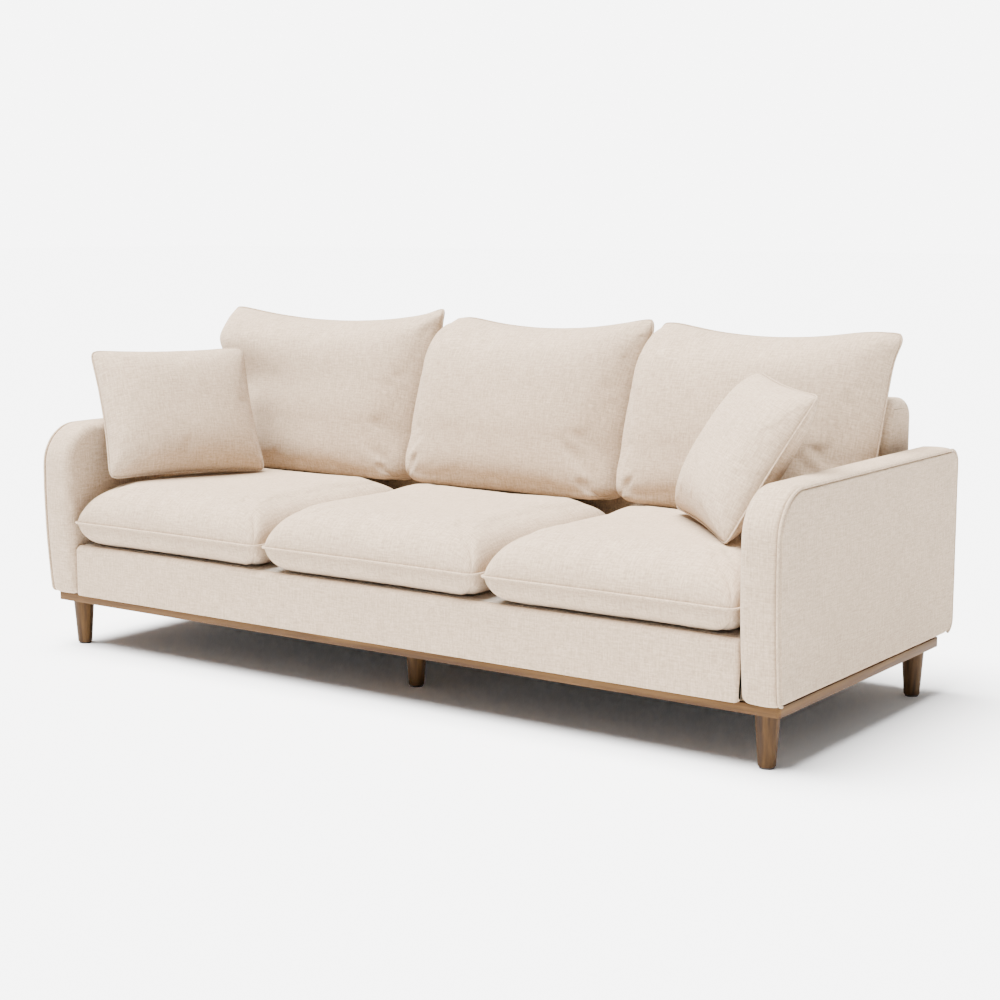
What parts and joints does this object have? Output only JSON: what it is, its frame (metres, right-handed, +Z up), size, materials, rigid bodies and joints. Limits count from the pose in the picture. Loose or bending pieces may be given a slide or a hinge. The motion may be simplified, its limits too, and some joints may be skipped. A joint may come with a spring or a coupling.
{
  "type": "three-seat sofa",
  "caption": "Wide upholstered sofa with loose seat and back cushions, throw pillows, rounded arms, a slim wooden plinth and tapered wooden legs.",
  "frame": {"origin": "bottom centre of the bounding box, on the floor", "axes": "+X to the right along the length as seen by someone facing the sofa, +Y to the back, +Z up; the seat faces -Y"},
  "size_m": [2.1996, 0.94, 0.9022],
  "materials": {
    "sofa_fabric": "woven linen look, matte",
    "welt_fabric": "the same cloth wound over a cord",
    "deck_cloth": "plain woven cloth over felt",
    "dust_cloth": "thin nonwoven",
    "webbing": "elastic upholstery webbing",
    "filling": "foam wrapped in wadding",
    "leg_wood": "mid brown stain, satin",
    "plinth_wood": "mid brown stain, satin",
    "frame_timber": "raw",
    "steel": "zinc plated",
    "glide": "moulded"
  },
  "bodies": {
    "frame": {"leg_front_left": "leg_wood", "leg_front_right": "leg_wood", "leg_back_left": "leg_wood", "leg_back_right": "leg_wood", "leg_centre_front": "leg_wood", "leg_centre_back": "leg_wood", "leg_bolts": "steel", "leg_inserts": "steel", "leg_glides": "glide", "plinth_front": "plinth_wood", "plinth_back": "plinth_wood", "plinth_left": "plinth_wood", "plinth_right": "plinth_wood", "plinth_crossbar": "plinth_wood", "plinth_screws": "steel", "dust_cover": "dust_cloth", "seat_rail_front": "frame_timber", "seat_rail_back": "frame_timber", "seat_rail_left": "frame_timber", "seat_rail_right": "frame_timber", "seat_stretchers": "frame_timber", "corner_blocks": "frame_timber", "seat_webbing": "webbing", "seat_deck": "deck_cloth", "front_border": "sofa_fabric", "arm_frame_left": "frame_timber", "arm_frame_right": "frame_timber", "arm_cover_left": "frame_timber", "arm_cover_right": "frame_timber", "arm_piping_left": "frame_timber", "arm_piping_right": "frame_timber", "back_frame": "frame_timber", "back_webbing": "webbing", "back_cover": "sofa_fabric", "frame_bolts": "steel"},
    "seat_cushion_left": {"seat_left_core": "filling", "seat_left_cover": "sofa_fabric", "seat_left_piping": "welt_fabric"},
    "seat_cushion_centre": {"seat_centre_core": "filling", "seat_centre_cover": "sofa_fabric", "seat_centre_piping": "welt_fabric"},
    "seat_cushion_right": {"seat_right_core": "filling", "seat_right_cover": "sofa_fabric", "seat_right_piping": "welt_fabric"},
    "back_cushion_left": {"back_left_core": "filling", "back_left_cover": "sofa_fabric", "back_left_piping": "welt_fabric"},
    "back_cushion_centre": {"back_centre_core": "filling", "back_centre_cover": "sofa_fabric", "back_centre_piping": "welt_fabric"},
    "back_cushion_right": {"back_right_core": "filling", "back_right_cover": "sofa_fabric", "back_right_piping": "welt_fabric"},
    "throw_pillow_left": {"pillow_left_core": "filling", "pillow_left_cover": "sofa_fabric", "pillow_left_piping": "welt_fabric"},
    "throw_pillow_right": {"pillow_right_core": "filling", "pillow_right_cover": "sofa_fabric", "pillow_right_piping": "welt_fabric"}
  },
  "joints": [
    {"name": "seat_cushion_left_slide", "type": "slide", "parent": "frame", "child": "seat_cushion_left", "axis": [0, -1, 0], "range_m": [0, 0.7]},
    {"name": "seat_cushion_centre_slide", "type": "slide", "parent": "frame", "child": "seat_cushion_centre", "axis": [0, -1, 0], "range_m": [0, 0.7]},
    {"name": "seat_cushion_right_slide", "type": "slide", "parent": "frame", "child": "seat_cushion_right", "axis": [0, -1, 0], "range_m": [0, 0.7]},
    {"name": "back_cushion_left_lift", "type": "slide", "parent": "frame", "child": "back_cushion_left", "axis": [0, 0.3289, 0.9444], "range_m": [0, 0.5]},
    {"name": "back_cushion_centre_lift", "type": "slide", "parent": "frame", "child": "back_cushion_centre", "axis": [0, 0.3289, 0.9444], "range_m": [0, 0.5]},
    {"name": "back_cushion_right_lift", "type": "slide", "parent": "frame", "child": "back_cushion_right", "axis": [0, 0.3289, 0.9444], "range_m": [0, 0.5]},
    {"name": "throw_pillow_left_lift", "type": "slide", "parent": "seat_cushion_left", "child": "throw_pillow_left", "axis": [0, 0, 1], "range_m": [0, 0.5]},
    {"name": "throw_pillow_right_lift", "type": "slide", "parent": "seat_cushion_right", "child": "throw_pillow_right", "axis": [0, 0, 1], "range_m": [0, 0.5]}
  ]
}
